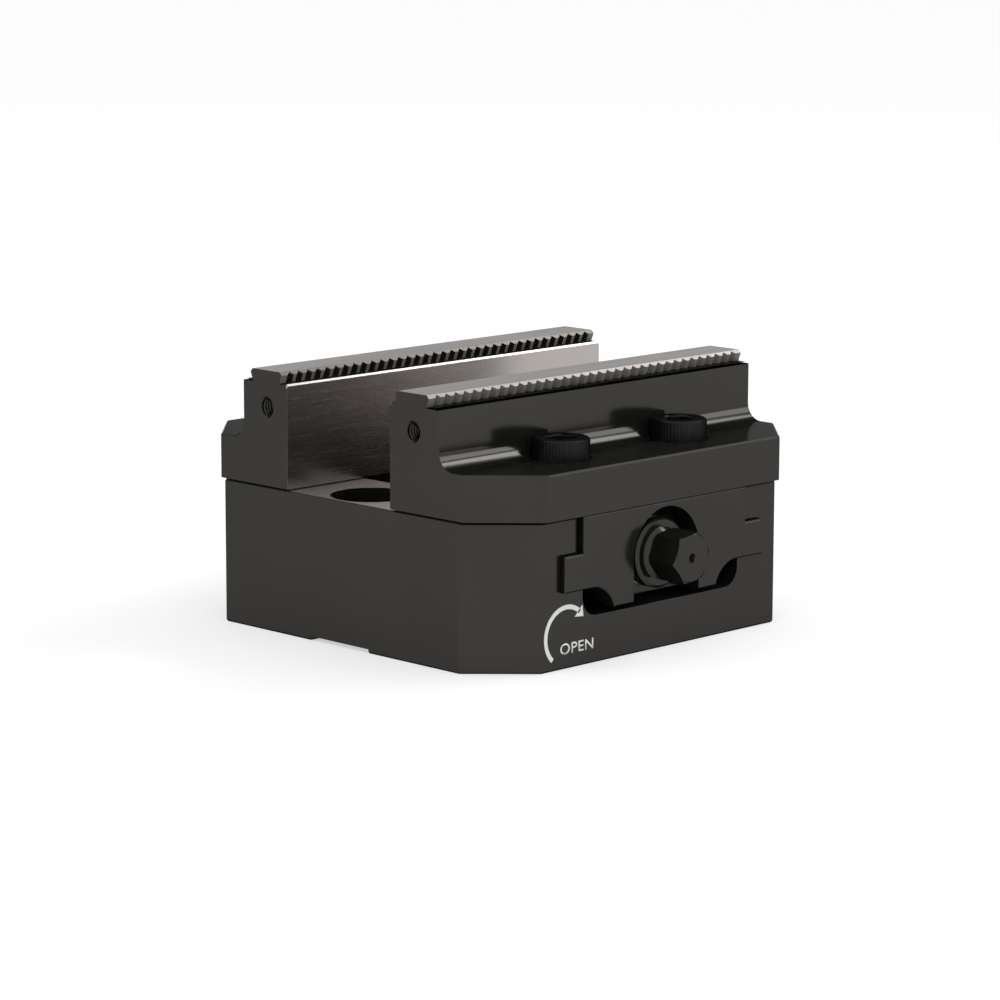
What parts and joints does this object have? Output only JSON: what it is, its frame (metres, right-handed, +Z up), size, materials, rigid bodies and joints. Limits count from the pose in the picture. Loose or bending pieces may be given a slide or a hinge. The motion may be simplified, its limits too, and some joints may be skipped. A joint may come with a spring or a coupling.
{
  "type": "self centering vise",
  "caption": "Compact machining vise: square chamfered base, T-slot carriages and two hard jaws that one left and right hand lead screw moves together.",
  "frame": {"origin": "middle of the base's underside", "axes": "+X along the lead screw towards the front jaw and its drive hex, +Y along the jaws, +Z up"},
  "size_m": [0.15, 0.127, 0.0749],
  "materials": {
    "base_dark_steel": "black oxide, satin, on a milled steel block",
    "carriage_steel": "black oxide, satin",
    "jaw_steel": "black oxide, satin, with ground gripping faces and rib",
    "yoke_steel": "black oxide, satin",
    "lead_screw_steel": "turned steel, lightly oiled",
    "black_screw_steel": "black oxide cap screw",
    "ground_pin_steel": "ground and polished",
    "bronze": "bearing bronze, turned"
  },
  "bodies": {
    "base": {"base_body": "base_dark_steel", "centre_yoke": "yoke_steel", "front_thrust_washer": "bronze", "rear_thrust_washer": "bronze", "yoke_screw_left": "black_screw_steel", "yoke_screw_right": "black_screw_steel", "yoke_dowel_left": "ground_pin_steel", "yoke_dowel_right": "ground_pin_steel"},
    "front_slide": {"front_carriage": "carriage_steel", "front_jaw": "jaw_steel", "front_jaw_screw_left": "black_screw_steel", "front_jaw_screw_right": "black_screw_steel", "front_jaw_dowel_left": "ground_pin_steel", "front_jaw_dowel_right": "ground_pin_steel"},
    "rear_slide": {"rear_carriage": "carriage_steel", "rear_jaw": "jaw_steel", "rear_jaw_screw_left": "black_screw_steel", "rear_jaw_screw_right": "black_screw_steel", "rear_jaw_dowel_left": "ground_pin_steel", "rear_jaw_dowel_right": "ground_pin_steel"},
    "screw": {"lead_screw": "lead_screw_steel"}
  },
  "joints": [
    {"name": "lead_screw_turn", "type": "hinge", "parent": "base", "child": "screw", "pos_m": [0, 0, 0.027], "axis": [-1, 0, 0], "range_deg": [-1840, 904]},
    {"name": "front_jaw_slide", "type": "slide", "parent": "base", "child": "front_slide", "axis": [1, 0, 0], "range_m": [-0.0204, 0.01]},
    {"name": "rear_jaw_slide", "type": "slide", "parent": "base", "child": "rear_slide", "axis": [-1, 0, 0], "range_m": [-0.02045, 0.01005]}
  ],
  "couplings": [
    {"joint": "lead_screw_turn", "follows": "front_jaw_slide", "rad_per_m": 1570.8},
    {"joint": "rear_jaw_slide", "follows": "front_jaw_slide", "ratio": 1}
  ]
}
